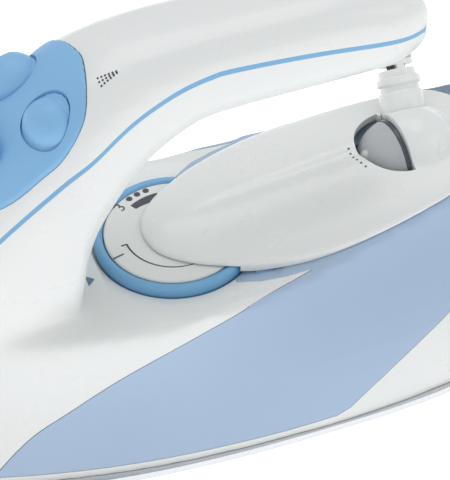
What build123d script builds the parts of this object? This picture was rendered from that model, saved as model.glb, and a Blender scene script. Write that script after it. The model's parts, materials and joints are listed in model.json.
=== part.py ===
from build123d import *
import math
import os

os.makedirs("parts", exist_ok=True)

# ---------------------------------------------------------------- driving sizes (mm)
# The iron stands on its soleplate at Z = 0, nose towards -X, heel towards +X.
iron_length = 286.0          # soleplate nose to heel feet
iron_width = 115.0           # widest part of the soleplate
wall = 2.5                   # moulded casing wall
part_gap = 0.3               # gap between neighbouring mouldings
run_gap = 0.06               # radial clearance of a shaft in its hole
slide_gap = 0.35             # clearance round a button or slider

plate_thick = 3.0            # soleplate sheet
block_thick = 12.0           # cast heating block
tank_floor_z = 30.0          # underside of the water vessel
tank_roof_z = 53.0           # top of the water vessel
deck_z = 60.0                # platform the dial stands on
deck_thick = 2.4

dial_radius = 28.0           # outside of the blue ring
dial_face_radius = 24.2
dial_height = 5.0            # ring height over its recess floor
dial_top_z = 62.0
shaft_radius = 3.0

handle_top_z = 153.0
handle_bottom_z = 119.5
handle_half_width = 17.5
head_half_width = 27.0
trim_height = 1.8            # blue line round the handle

cover_wall = 2.4             # platform cover

swivel_radius = 17.0         # round cord housing
swivel_centre = Vector(91, 0, 67)
cord_axis = Vector(0.094, 0.717, 0.691).normalized()
ball_radius = 10.4
collar_radius = 8.2
relief_length = 56.0         # swivel centre to the tip of the strain relief
cord_diameter = 6.8

spray_radius = 7.6           # small round button
shot_radius = 9.2            # large round button
slider_travel = 5.0
screw_radius = 1.6

half_length = iron_length / 2
along_scale = iron_length / 286.0
across_scale = iron_width / 115.0


def along(x):
    """A place along the iron, which moves with its length."""
    return x * along_scale


def save(name, shape):
    export_step(shape, "parts/" + name + ".step")


def block(x0, x1, y0, y1, z0, z1):
    return Pos((x0 + x1) / 2, (y0 + y1) / 2, (z0 + z1) / 2) * Box(x1 - x0, y1 - y0, z1 - z0)


def rod(x, y, z0, z1, radius):
    return Pos(x, y, (z0 + z1) / 2) * Cylinder(radius, z1 - z0)


def tube(x, y, z0, z1, outer, inner):
    return rod(x, y, z0, z1, outer) - rod(x, y, z0 - 1, z1 + 1, inner)


def side_prism(points, half=80.0, smooth=True):
    """Everything under a line drawn in the XZ plane, as a wide solid across the iron."""
    pts = [Vector(x, -half, z) for x, z in points]
    line = Spline(*pts) if smooth else Polyline(*pts)
    low = -40.0
    back = Polyline(pts[-1], Vector(pts[-1].X, -half, low), Vector(pts[0].X, -half, low), pts[0])
    return extrude(Face(Wire([*line.edges(), *back.edges()])), amount=2 * half, dir=(0, 1, 0))


# ---------------------------------------------------------------- casing form
# Plan outlines of the casing: height, nose, flank points (x, half width), heel.
casing_plans = [
    (plate_thick, -141, [(-128, 11), (-105, 25.5), (-70, 40), (-20, 51.5), (40, 56.5),
                         (92, 54.5), (122, 47), (139, 34)], 142),
    (30.0, -131, [(-119, 9.5), (-98, 20), (-66, 32.5), (-20, 43.5), (40, 50),
                  (90, 48), (118, 42), (137, 30)], 140),
    (deck_z + 1, -112, [(-101, 10), (-84, 20), (-58, 31), (-15, 39.8), (36, 37),
                        (86, 32.5), (112, 29), (133, 22)], 136),
    (80.0, -100, [(-90, 9), (-74, 18), (-52, 27), (-15, 33.5), (36, 31),
                  (83, 27), (106, 23), (128, 16)], 131),
]


def casing_form(inset, low_drop=0.0):
    """The casing as one closed body, drawn in by a wall thickness."""
    faces = []
    for level, (z, nose, flank, heel) in enumerate(casing_plans):
        z = z - low_drop if level == 0 else z
        near = [(along(x + inset * 0.5), -(w * across_scale - inset)) for x, w in flank]
        far = [(x, -y) for x, y in reversed(near)]
        ring = [(along(nose) + 2.2 * inset, 0), *near, (along(heel) - inset, 0), *far]
        points = [Vector(x, y, z) for x, y in ring]
        faces.append(Face(Wire(Polyline(*points, close=True).edges())))
    return loft(faces, ruled=True)


heel_face_x = along(134.5)
casing = casing_form(0) & block(-400, heel_face_x, -100, 100, -20, 100)
hollow = casing_form(wall, 12) & block(-400, heel_face_x - wall, -100, 100, -20, 100)

# The platform rises gently to the heel.
deck_line = [(-200, deck_z), (along(20), deck_z), (along(36), deck_z + 1.5),
             (along(92), 69.5), (along(150), 76)]
under_deck = side_prism(deck_line, smooth=False)
under_deck_inner = Pos(0, 0, -deck_thick) * under_deck
casing = casing & under_deck

# Parting line of the white saddle over the blue tank, and of the tank over the skirt.
saddle_line = [(along(-96), -10), (along(-70), 17.5), (along(-52), 30), (along(-31), 43.5),
               (along(-10), 52.8), (along(12), 58.6), (along(37), 62.2)]
skirt_line = [(-200, 9), (along(-60), 9), (along(20), 9), (along(43), 11), (along(63), 22.5),
              (along(84.5), 34.5), (along(105), 45), (along(125), 53), (along(150), 58)]
under_saddle = side_prism(saddle_line)
under_skirt = side_prism(skirt_line, smooth=False)
saddle_zone = block(-200, along(37), -100, 100, -10, 100) - under_saddle - under_skirt

# ---------------------------------------------------------------- soleplate and heater
sole_plan = [(along(x), w * across_scale) for x, w in
             [(-130, 12), (-106, 27), (-70, 42), (-18, 53), (42, 57.3), (90, 56), (116, 47), (126, 28)]]
sole_ring = [(-half_length, 0), *[(x, -w) for x, w in sole_plan], (along(128), 0),
             *[(x, w) for x, w in reversed(sole_plan)]]
sole_face = Face(Wire(Spline(*[Vector(x, y, 0) for x, y in sole_ring], periodic=True).edges()))
soleplate = extrude(sole_face, amount=plate_thick)
vent_radius = 1.4
vents = []
for x in range(-98, 66, 20):
    reach = min(0.30 * (x + 150), 38.0)
    for y in (-reach, reach):
        vents.append(rod(along(x), y * across_scale, -1, plate_thick + 1, vent_radius))
soleplate = soleplate - vents
save("soleplate", soleplate)


def wedge(front, rear, front_half, middle_half, rear_half, z0, z1, middle=0.35):
    """A flat-sided kite-shaped slab that follows the casing inside."""
    mid_x = along(front) * (1 - middle) + along(rear) * middle
    fh, mh, rh = (h * across_scale for h in (front_half, middle_half, rear_half))
    ring = [(along(front), -fh), (mid_x, -mh), (along(rear), -rh),
            (along(rear), rh), (mid_x, mh), (along(front), fh)]
    face = Face(Wire(Polyline(*[Vector(x, y, z0) for x, y in ring], close=True).edges()))
    return extrude(face, amount=z1 - z0, dir=(0, 0, 1))


block_top = plate_thick + block_thick
element_radius = 3.6
element_z = block_top + 1.0
element_y = 31.0 * across_scale
element_path = FilletPolyline(
    (along(98), -element_y, element_z), (along(10), -element_y, element_z),
    (along(-92), -11, element_z), (along(-92), 11, element_z),
    (along(10), element_y, element_z), (along(98), element_y, element_z), radius=7.0)


def element_sweep(radius):
    return sweep(Plane(origin=element_path @ 0, z_dir=element_path % 0) * Circle(radius), path=element_path)


element = element_sweep(element_radius)
element_clearance = element_sweep(element_radius + 0.05)
chamber_floor = plate_thick + 4
heating_block = wedge(-112, 114, 7, 40, 37, plate_thick, block_top)
heating_block = heating_block - wedge(-68, 72, 3, 16, 16, chamber_floor, block_top + 1) - element_clearance
heating_block = heating_block - [rod(along(x), y, plate_thick - 1, chamber_floor + 1, vent_radius)
                                 for x in (-30, 20, 55) for y in (-6, 6)]
boss_spots = [(along(-106), 0), (along(108), -22), (along(108), 22)]
heating_block = heating_block - [block(along(98) - 1, along(98) + 3.4, y - 2.4, y + 2.4,
                                       element_z - 3.4, block_top + 1)
                                 for y in (-element_y, element_y)]
heating_block = heating_block - [rod(x, y, block_top - 8, block_top + 1, screw_radius) for x, y in boss_spots]
save("heating_block", heating_block)
save("heating_element", element)

gasket_thick = 0.6
lid_z = block_top + gasket_thick
lid_top = lid_z + 1.2
drip_x = along(-58)
chamber_gasket = wedge(-74, 78, 5, 19.5, 19.5, block_top, lid_z)
chamber_gasket = chamber_gasket - wedge(-68, 72, 3.5, 16.5, 16.5, block_top - 1, lid_z + 1)
save("chamber_gasket", chamber_gasket)
chamber_cover = wedge(-74, 78, 5, 19.5, 19.5, lid_z, lid_top) - rod(drip_x, 0, lid_z - 1, lid_z + 3, 3.0)
save("chamber_cover", chamber_cover)

# ---------------------------------------------------------------- thermostat, fuse and terminals
stat_top = tank_floor_z - 1.0
thermostat = rod(0, 0, lid_top, lid_top + 3, 12) + rod(0, 0, lid_top + 3, stat_top, 7)
thermostat = thermostat + block(4, 24, -4, 4, lid_top + 3, lid_top + 6)
thermostat = thermostat - rod(0, 0, stat_top - 6, stat_top + 1, shaft_radius + run_gap)
save("thermostat", thermostat)
thermal_fuse = Pos(along(92), 0, block_top + 2.5) * Rot(0, 90, 0) * Cylinder(2.5, 16)
save("thermal_fuse", thermal_fuse)
element_ends = [block(along(98), along(98) + 3, y - 2, y + 2, element_z - 3, element_z + 10)
                for y in (-element_y, element_y)]
save("element_terminals", Compound(element_ends))

# ---------------------------------------------------------------- skirt
lug_high = block_top + 5
front_lug = block(along(-132), along(-106) + 5, -5, 5, block_top, lug_high) & casing_form(1.0)
rear_lugs = [block(along(108) - 5, along(140), y - 5, y + 5, block_top, lug_high) for y in (-22, 22)]
skirt = ((casing & under_skirt) - hollow) + [lug & casing & casing_form(1.0) for lug in rear_lugs]
skirt = skirt - [rod(x, y, block_top - 1, lug_high + 1, screw_radius + 0.2) for x, y in boss_spots]
heel_screw_spots = [(-16, 22), (16, 22)]
skirt = skirt - [Pos(heel_face_x, y, z) * Rot(0, 90, 0) * Cylinder(screw_radius, 12)
                 for y, z in heel_screw_spots]
save("skirt", skirt)
save("skirt_screws", Compound([rod(x, y, block_top - 7, lug_high, screw_radius)
                               + rod(x, y, lug_high, lug_high + 1.8, 3.0) for x, y in boss_spots]))

# ---------------------------------------------------------------- platform cover outline
cover_points = [(-11, 0), (-9.5, 7.5), (-4.5, 14), (4, 20), (18, 26.5), (36, 31), (54, 32),
                (74, 30.5), (94, 27), (112, 20), (118, 0)]


def cover_outline(grow, z):
    """The teardrop outline of the platform cover, wider or narrower by a margin."""
    near = [(along(x), -(y + grow)) for x, y in cover_points[1:-1]]
    far = [(x, -y) for x, y in reversed(near)]
    ring = [(along(cover_points[0][0]) - grow, 0), *near, (along(cover_points[-1][0]) + grow, 0), *far]
    return Face(Wire(Polyline(*[Vector(x, y, z) for x, y in ring], close=True).edges()))


well = extrude(cover_outline(-3.5, tank_roof_z), amount=60, dir=(0, 0, 1))
well = well & block(along(37), 400, -100, 100, 0, 200)

# ---------------------------------------------------------------- water tank
vessel = casing_form(wall) & block(along(-96), along(104), -100, 100, tank_floor_z, tank_roof_z)
cavity = casing_form(wall * 2) & block(along(-96) + wall, along(104) - wall, -100, 100,
                                       tank_floor_z + wall, tank_roof_z - wall)
band = casing - under_skirt - saddle_zone - (hollow & under_deck_inner)
tank = band + vessel - well - cavity
stem_tube_outer = 8.0
stem_tube = rod(0, 0, tank_floor_z, tank_roof_z, stem_tube_outer)
stem_bore = rod(0, 0, tank_floor_z - 1, tank_roof_z + 20, 5.5)
spray_x = along(-44.5)
spray_y = -12.5
shot_x = along(-48.5)
shot_y = 12.6
valve_x = along(-58)
hose_radius = 2.0
fill_x = along(-90)
chute_outer = 6.0
tank_holes = [rod(spray_x, spray_y, 40, 90, hose_radius + 0.05),
              rod(shot_x, shot_y, 40, 90, hose_radius + 0.05),
              rod(valve_x, 0, 20, 40, 3.0), rod(valve_x, 0, 45, 60, 2.2), rod(fill_x, 0, 45, 60, chute_outer - 1.5)]
tank = (tank + stem_tube) - stem_bore - tank_holes
saddle_reserve = (casing - casing_form(wall - part_gap)) & saddle_zone
tank = tank - saddle_reserve - (casing_form(wall) & block(-200, along(37), -100, 100, tank_roof_z, 200))
save("water_tank", tank)
save("tank_stem_seal", tube(0, 0, tank_roof_z - 3, tank_roof_z, 5.5, shaft_radius + 0.3))

# ---------------------------------------------------------------- saddle
recess_radius = 33.0
recess_z = dial_top_z - dial_height - 0.8
deck_room = block(-200, along(37), -100, 100, recess_z - deck_thick, 100)
deck_slab = (casing & saddle_zone & deck_room) + (casing & casing_form(wall + 0.1) & deck_room)
saddle = ((casing & saddle_zone) - casing_form(wall - part_gap)) + deck_slab + front_lug
saddle = saddle - rod(along(-106), 0, block_top - 1, lug_high + 1, screw_radius + 0.2)
saddle = saddle - rod(0, 0, recess_z, 100, recess_radius)
leg_pass = wedge(-101, -41, 6.5, 15, 18, 40, 80)
saddle = saddle - leg_pass
saddle = saddle - rod(0, 0, 40, 80, shaft_radius + run_gap)
tail_cut = extrude(cover_outline(1.0, recess_z), amount=40, dir=(0, 0, 1))
tail_cut = tail_cut & block(along(18), 200, -100, 100, 0, 200)
saddle = saddle - (tail_cut - rod(0, 0, 0, 200, recess_radius))
nozzle_z = 44.0
nozzle_radius = 3.5
saddle = saddle - Pos(along(-120), 0, nozzle_z) * Rot(0, 90, 0) * Cylinder(nozzle_radius, 60)
saddle = saddle.solids().sort_by(SortBy.VOLUME)[-1]
save("upper_shell", saddle)

# ---------------------------------------------------------------- handle form
# Stations along the handle: place, underside, top, half width.
body_foot = deck_z
handle_stations = [
    (-108, body_foot, 66, 10), (-100, body_foot, 77, 16), (-88, body_foot, 94, 21),
    (-76, body_foot, 110, 25), (-64, body_foot, 125, head_half_width),
    (-50, body_foot, 136.5, head_half_width),
    (-37, body_foot, 144, head_half_width - 1), (-31, 76, 146.5, head_half_width - 2.5),
    (-24, 92, 149, 22.5), (-12, 108, handle_top_z - 1.5, 20), (2, handle_bottom_z - 2, handle_top_z, 18.2),
    (16, handle_bottom_z, handle_top_z, handle_half_width),
    (50, handle_bottom_z, handle_top_z - 1, handle_half_width),
    (74, handle_bottom_z, handle_top_z - 5, handle_half_width - 1.5),
    (86, handle_bottom_z + 3, handle_top_z - 11, 11)]
section_points = 16
section_power = 2.0 / 3.0


def handle_form(inset, foot_drop=0.0):
    """The handle as one closed body of rounded sections, drawn in by a wall thickness."""
    faces = []
    last = len(handle_stations) - 1
    for i, (x, low, high, half) in enumerate(handle_stations):
        low = low + inset - (foot_drop if low == body_foot else 0)
        high = high - inset
        half = half - inset
        x = along(x) + (inset if i == 0 else 0) - (inset if i == last else 0)
        middle = (low + high) / 2
        reach = (high - low) / 2
        points = []
        for k in range(section_points):
            turn = 2 * math.pi * (k + 0.5) / section_points
            c, sn = math.cos(turn), math.sin(turn)
            y = half * math.copysign(abs(c) ** section_power, c)
            z = middle + reach * math.copysign(abs(sn) ** section_power, sn)
            points.append(Vector(x, y, z))
        faces.append(Face(Wire(Polyline(*points, close=True).edges())))
    return loft(faces, ruled=True)


handle_outer = handle_form(0)
handle_inner = handle_form(wall)
handle_shell = handle_outer - handle_inner
handle_shell = handle_shell - wedge(-101, -41, 6.5, 15, 18, 50, body_foot + wall + 4)

# The blue line: from the nose flank up over the shoulder and back along the grip.
trim_line = [(-125, 49), (-100, 65), (-88, 80.5), (-76, 95), (-65.6, 105.8), (-55.3, 114.2),
             (-44.9, 121.8), (-37.9, 126.9), (-30.9, 131.6), (-25.7, 134.6), (-20.4, 137.1),
             (-13.4, 139.4), (-3.2, 141.5), (6.9, 141.7), (15.9, 141), (45, 138.8), (75, 134), (100, 130)]
under_trim = side_prism([(along(x), z - trim_height / 2) for x, z in trim_line], smooth=False)
over_trim = Pos(0, 0, trim_height) * under_trim
handle_lower = handle_shell & under_trim
handle_upper = handle_shell - over_trim
handle_trim = (handle_shell & over_trim) - under_trim

# ---------------------------------------------------------------- keypad, buttons and slider
keypad_skin = 1.6
keypad_plan = [(-29.5, 7), (-31.5, 13), (-33.2, 17.5), (-35.6, 20), (-40, 21.6), (-48, 22.9),
               (-62, 22.4), (-76, 17), (-84, 8)]


def keypad_prism(grow):
    near = [(along(x), -(y + grow)) for x, y in keypad_plan]
    far = [(x, -y) for x, y in reversed(near)]
    near[0] = (near[0][0] + grow, near[0][1])
    far[-1] = (far[-1][0] + grow, far[-1][1])
    near[-1] = (near[-1][0] - grow, near[-1][1])
    far[0] = (far[0][0] - grow, far[0][1])
    face = Face(Wire(Polyline(*[Vector(x, y, 95) for x, y in [*near, *far]], close=True).edges()))
    return extrude(face, amount=80, dir=(0, 0, 1))


keypad_bed = handle_form(keypad_skin)
handle_upper = handle_upper - (keypad_prism(0.25) - keypad_bed)
slider_x = along(-68)
slider_y = -5.0
slider_half = 9.0
slider_slot = block(slider_x - 4 - slider_travel, slider_x + 4 + slider_travel,
                    slider_y - 2.5, slider_y + 2.5, 100, 140)
spray_hole = rod(spray_x, spray_y, 110, 160, spray_radius + slide_gap)
shot_hole = rod(shot_x, shot_y, 110, 160, shot_radius + slide_gap)
keypad = (handle_form(-0.5) & keypad_prism(0)) - keypad_bed
keypad = keypad - spray_hole - shot_hole - slider_slot
handle_upper = handle_upper - spray_hole - shot_hole - slider_slot

spray_top_z = 142.0
shot_top_z = 144.5


def push_button(x, y, radius, top_z, low_z):
    dome_height = radius * 0.6
    sphere_radius = (radius ** 2 + dome_height ** 2) / (2 * dome_height)
    dome = Pos(x, y, top_z - sphere_radius) * Sphere(sphere_radius)
    return rod(x, y, low_z, top_z + 1, radius) & (dome + rod(x, y, low_z - 1, top_z - dome_height, radius + 1))


pump_top_z = 108.0
stem_top_z = 120.0
pump_low_z = 84.0
piston_z = 100.0


def pump(x, y, outer, bore):
    """Pump body, piston with its stem, and return spring under one button."""
    body = rod(x, y, pump_low_z, pump_top_z, outer)
    body = body - rod(x, y, pump_low_z + 3, pump_top_z + 1, bore)
    piston = rod(x, y, piston_z, piston_z + 5, bore - run_gap)
    piston = piston + rod(x, y, piston_z, stem_top_z, 2.0)
    wire = 0.5
    coil = Helix(pitch=2.4, height=stem_top_z - pump_top_z - 2 * wire - 0.2, radius=bore + 0.6,
                 center=(x, y, pump_top_z + wire + 0.1))
    spring = sweep(Plane(origin=coil @ 0, z_dir=coil % 0) * Circle(wire), path=coil, is_frenet=True)
    return body, piston, spring


spray_body, spray_piston, spray_spring = pump(spray_x, spray_y, 6.0, 3.6)
shot_body, shot_piston, shot_spring = pump(shot_x, shot_y, 8.0, 5.6)
save("spray_button", push_button(spray_x, spray_y, spray_radius, spray_top_z, stem_top_z))
save("shot_button", push_button(shot_x, shot_y, shot_radius, shot_top_z, stem_top_z))
save("spray_pump_body", spray_body)
save("shot_pump_body", shot_body)
save("spray_piston", spray_piston)
save("shot_piston", shot_piston)
save("spray_spring", spray_spring)
save("shot_spring", shot_spring)

rod_radius = 1.8
bracket_z = 81.0
bracket = (wedge(-84, -36, 14, 26, 26, bracket_z, pump_low_z) & handle_form(wall + 0.02))
bracket = bracket - rod(valve_x, 0, 60, 100, rod_radius + run_gap)
pump_places = ((spray_x, spray_y), (shot_x, shot_y))
bracket = bracket - [rod(x, y, 60, 100, hose_radius + 0.05) for x, y in pump_places]
hose_run_y = spray_y + 2.0
bracket = bracket - block(along(-90), along(-64), hose_run_y - 3, 10, 60, 100)
save("pump_bracket", bracket)
hose_low_z = tank_floor_z + wall + 2
save("suction_hoses", Compound([tube(x, y, hose_low_z, pump_low_z, hose_radius, 1.1)
                                for x, y in pump_places]))

# Steam slider on the keypad; its slanted foot lifts the valve rod as it moves.
slider_cap = block(slider_x - 8, slider_x + 8, slider_y - slider_half, slider_y + slider_half, 110, 140)
slider_cap = slider_cap & handle_form(-3.6) - handle_form(-0.9)
slider_stem = block(slider_x - 4, slider_x + 4, slider_y - 2.2, slider_y + 2.2, 113, 130) & handle_form(-2.0)
steam_slider = slider_cap + slider_stem
steam_slider = steam_slider.solids().sort_by(SortBy.VOLUME)[-1]
save("steam_slider", steam_slider)
rod_top_z = 112.0
valve_rod = rod(valve_x, 0, tank_floor_z + 0.6, rod_top_z, rod_radius)
valve_rod = valve_rod + block(valve_x - 12, valve_x + 1.5, -1.5, 1.5, rod_top_z - 3, rod_top_z)
save("valve_rod", valve_rod)
save("drip_valve", tube(valve_x, 0, tank_floor_z - 3, tank_floor_z + wall, 3.0, rod_radius - 0.6)
     - rod(valve_x, 0, tank_floor_z + 0.4, tank_floor_z + 10, rod_radius + run_gap))

# ---------------------------------------------------------------- fill door, funnel and spray nozzle
door_slope = math.degrees(math.atan2(94 - 77, along(-88) - along(-100)))
door_origin = Vector(along(-94), 0, 85.5)
slope_run = math.cos(math.radians(door_slope))
slope_rise = math.sin(math.radians(door_slope))
door_plane = Plane(origin=door_origin, x_dir=(slope_run, 0, slope_rise), z_dir=(-slope_rise, 0, slope_run))
door_half = 9.0
door_half_width = 9.0
door_thick = 2.2
ear = 1.8
pin_radius = 1.0
door_depth = 2.0
window_size = (2 * door_half + 2.6, 2 * (door_half_width + ear) + 1.2, 24)
door_window = door_plane.location * (Pos(0.6, 0, 8 - door_depth) * Box(*window_size))
handle_upper = handle_upper - (door_window & door_plane.location * block(-30, 30, -30, 30, -6, 30))
handle_lower = handle_lower - (door_window & door_plane.location * block(-30, 30, -30, 30, -6, 30))
handle_trim = handle_trim - door_window
door_z = -door_depth
door = door_plane.location * block(-door_half, door_half, -door_half_width, door_half_width,
                                   door_z, door_z + door_thick)
pin_x = door_half - 1.4
pin_place = door_plane.location * Pos(pin_x, 0, door_z + door_thick / 2) * Rot(90, 0, 0)
door_pin = pin_place * Cylinder(pin_radius - 0.4, 2 * (door_half_width + ear))
fill_door = door - pin_place * Cylinder(pin_radius - 0.4 + run_gap, 60)
save("fill_door", fill_door)
save("door_pin", door_pin)
funnel_plate = door_plane.location * block(-door_half - 0.5, door_half + 0.5,
                                           -door_half_width - ear, door_half_width + ear,
                                           door_z - 2.3, door_z - 0.3)
door_sweep = pin_place * Cylinder(2.0, 2 * door_half_width + 0.5)
funnel_plate = funnel_plate - door_sweep
ears = [door_plane.location * block(pin_x - 1.6, pin_x + 1.6, y0, y1, door_z - 0.4, door_z + door_thick)
        for y0, y1 in ((-door_half_width - ear, -door_half_width - 0.25),
                       (door_half_width + 0.25, door_half_width + ear))]
chute = rod(fill_x, 0, tank_roof_z, 100, chute_outer)
chute = chute & door_plane.location * block(-40, 40, -30, 30, -80, door_z - 1)
chute_bore = rod(fill_x, 0, tank_roof_z - 1, 120, chute_outer - 1.5)
funnel = ((funnel_plate + ears + chute) - chute_bore) - pin_place * Cylinder(pin_radius - 0.4, 60)
save("fill_funnel", funnel)
nozzle = Cylinder(nozzle_radius - 0.02, 9) - Cylinder(0.8, 12)
save("spray_nozzle", Pos(along(-120) - 1, 0, nozzle_z) * Rot(0, 90, 0) * nozzle)

nozzle_back = along(-120) + 3.5
spray_path = FilletPolyline((nozzle_back, 0, nozzle_z), (nozzle_back + 9, 0, nozzle_z), (along(-99), -2.5, 51),
                            (along(-97), -5.5, 62), (along(-93), -7.4, 70), (along(-82), -10.5, 82),
                            (along(-66), -11.5, 90), (spray_x - 6.4, spray_y, 90), radius=2.4)
spray_hose = sweep(Plane(origin=spray_path @ 0, z_dir=spray_path % 0) * Circle(1.6), path=spray_path)
save("spray_hose", spray_hose)

save("keypad", keypad)
save("handle_lower", handle_lower)
save("handle_upper", handle_upper)
save("handle_trim", handle_trim)

# ---------------------------------------------------------------- dial
dial_low_z = dial_top_z - dial_height
ring_round = 1.8
ring_body = rod(0, 0, dial_low_z, dial_top_z - 0.6, dial_radius)
ring_body = fillet(ring_body.edges().group_by(Axis.Z)[-1], ring_round)
dial_ring = ring_body - rod(0, 0, 0, 100, dial_face_radius)
save("dial_ring", dial_ring)
face_low_z = dial_top_z - 2.5
dial_face = rod(0, 0, face_low_z, dial_top_z, dial_face_radius - 0.05) + rod(0, 0, dial_low_z, face_low_z, 6)
dial_face = dial_face - rod(0, 0, dial_low_z - 1, face_low_z, shaft_radius)
save("dial_face", dial_face)
save("dial_shaft", rod(0, 0, stat_top - 5.5, face_low_z, shaft_radius))
save("click_ring", tube(0, 0, recess_z, dial_low_z - 0.2, 12, 8))

# ---------------------------------------------------------------- platform cover
cord_plane = Plane(origin=swivel_centre, z_dir=cord_axis)


def on_cord(shape):
    """Moves a shape drawn along +Z onto the cord's way out of the swivel housing."""
    return cord_plane.location * shape


cover_top = [(along(-30), 66.0), (along(-11), 67.0), (along(20), 70.5), (along(60), 74.5),
             (along(100), 76.5), (along(140), 75)]
under_cover_top = side_prism(cover_top, smooth=False)


def cover_form(inset):
    low = cover_outline(-inset, deck_z - 2)
    high = cover_outline(-inset - 5.0, 84)
    return loft([low, high], ruled=True)


cover_solid = cover_form(0) & under_cover_top
cover_hollow = cover_form(cover_wall) & Pos(0, 0, -cover_wall) * under_cover_top
platform_cover = cover_solid - cover_hollow - Pos(0, 0, part_gap) * under_deck
platform_cover = platform_cover - rod(0, 0, 40, dial_top_z + 0.6, dial_radius + 0.9)
lens_x = along(84)
lens_radius = 15.5
lens_hole = rod(lens_x, 0, 60, 100, lens_radius + 0.15) & block(-200, lens_x, -100, 100, 0, 200)
swivel_at = Pos(*swivel_centre)
swivel_cut = swivel_at * Sphere(swivel_radius + 0.02)
platform_cover = platform_cover - lens_hole - swivel_cut
platform_cover = platform_cover - on_cord(Pos(0, 0, 34) * Cylinder(collar_radius + 0.8, 52))
platform_cover = platform_cover.solids().sort_by(SortBy.VOLUME)[-1]
save("platform_cover", platform_cover)
gasket_ring = extrude(cover_outline(0.8, recess_z), amount=deck_z + 0.2 - recess_z, dir=(0, 0, 1))
gasket_ring = gasket_ring - extrude(cover_outline(-2.6, recess_z - 1), amount=20, dir=(0, 0, 1))
platform_gasket = gasket_ring & block(along(18) + 0.3, along(37) - 0.3, -100, 100, 0, 200)
platform_gasket = platform_gasket - rod(0, 0, 0, 100, recess_radius + 0.3)
save("platform_gasket", platform_gasket)

# ---------------------------------------------------------------- lens, lamp and board
lens_line = [(lens_x - 20, 73.2), (lens_x - lens_radius, 75.0), (lens_x, 80.0), (lens_x + 10, 83)]
under_lens = side_prism(lens_line, smooth=False)
lens_plate = rod(lens_x, 0, 60, 100, lens_radius) & block(-200, lens_x - 0.3, -100, 100, 0, 200)
lens = lens_plate & under_lens - Pos(0, 0, -2.4) * under_lens
save("indicator_lens", lens)
board_z = 66.0
board = block(along(58), along(58) + 19, -10, 10, board_z, board_z + 1.6)
board_frame = block(along(58), along(58) + 19, -10, 10, board_z - 2, board_z)
board_frame = board_frame - block(along(58) + 3, along(58) + 16, -7, 7, 50, 90)
posts = [rod(along(58) + px, py, tank_roof_z, board_z - 2, 1.6) for px in (2, 17) for py in (-8, 8)]
save("board_carrier", board_frame + posts)
save("auto_off_board", board)
save("indicator_lamp", rod(along(58) + 15, 0, board_z + 1.6, board_z + 5, 2.4)
     + Pos(along(58) + 15, 0, board_z + 5) * Sphere(2.4) & block(-200, 200, -100, 100, board_z + 1.6, 100))

# ---------------------------------------------------------------- swivel housing, ball and strain relief
swivel_wall = 2.2
ball_shift = swivel_radius - swivel_wall - ball_radius - part_gap
swivel_shell = swivel_at * Sphere(swivel_radius) - swivel_at * Sphere(swivel_radius - swivel_wall)
swivel_shell = swivel_shell & block(lens_x, 400, -100, 100, 0, 200)
swivel_shell = swivel_shell - Pos(0, 0, 0.2) * under_deck
swivel_shell = swivel_shell - on_cord(Pos(0, 0, 15) * Cylinder(collar_radius + 0.3, 30))
swivel_shell = swivel_shell - block(-400, 400, -100, 100, 0, 68)
swivel_shell = swivel_shell.solids().sort_by(SortBy.VOLUME)[-1]
save("swivel_housing", swivel_shell)
ball = on_cord(Pos(0, 0, ball_shift) * Sphere(ball_radius) & Pos(0, 0, -1) * Cylinder(ball_radius, 30))
collar_start = ball_shift + ball_radius - 1.5
ball = ball & on_cord(Pos(0, 0, collar_start / 2 - 6) * Cylinder(ball_radius + 1, collar_start + 12))
save("swivel_ball", ball)
cord_radius = cord_diameter / 2
steps = [(collar_start, collar_radius), (collar_start + 8.5, collar_radius - 0.4), (collar_start + 8.5, 7.0),
         (collar_start + 11, 6.9), (collar_start + 11, 7.9), (collar_start + 14, 7.7), (collar_start + 14, 6.8)]
profile = [(0, collar_start), *[(r, h) for h, r in steps], (cord_radius + 1.0, relief_length), (0, relief_length)]
relief_face = Face(Wire(Polyline(*[Vector(r, 0, h) for r, h in profile], close=True).edges()))
relief = on_cord(revolve(relief_face, axis=Axis.Z))
save("strain_relief", relief)

# ---------------------------------------------------------------- cord, coil and plug
coil_centre = Vector(205, 34, 0)
coil_mid = 39.0
coil_width = 3 * cord_diameter
coil_height = 2.0 * cord_diameter + 2
floor_z = cord_radius + 0.1
cord_tip = swivel_centre + cord_axis * relief_length
cord_points = [cord_tip, cord_tip + cord_axis * 17, Vector(103, 80, 133), Vector(118, 101, 136),
               Vector(139, 117, 122), Vector(158, 127, 97), Vector(174, 130, 68), Vector(188, 126, 40),
               Vector(200, 114, 19), Vector(209, 97, 8), Vector(216, 80, floor_z + 3)]


def cord_tube(points):
    """Straight runs joined by arcs, each as large as its two runs allow."""
    runs = [b - a for a, b in zip(points, points[1:])]
    radii = []
    for one, two in zip(runs, runs[1:]):
        turn = math.radians(one.get_angle(two))
        radii.append(0.45 * min(one.length, two.length) / math.tan(turn / 2))
    print("cord radii", [round(r, 1) for r in radii], "runs", [round(r.length, 1) for r in runs])
    path = FilletPolyline(*points, radius=radii)
    solid = sweep(Plane(origin=points[0], z_dir=runs[0]) * Circle(cord_radius), path=path)
    print("cord length", round(path.length, 1), "volume ratio",
          round(solid.volume / (math.pi * cord_radius ** 2 * path.length), 5))
    return solid


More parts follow.
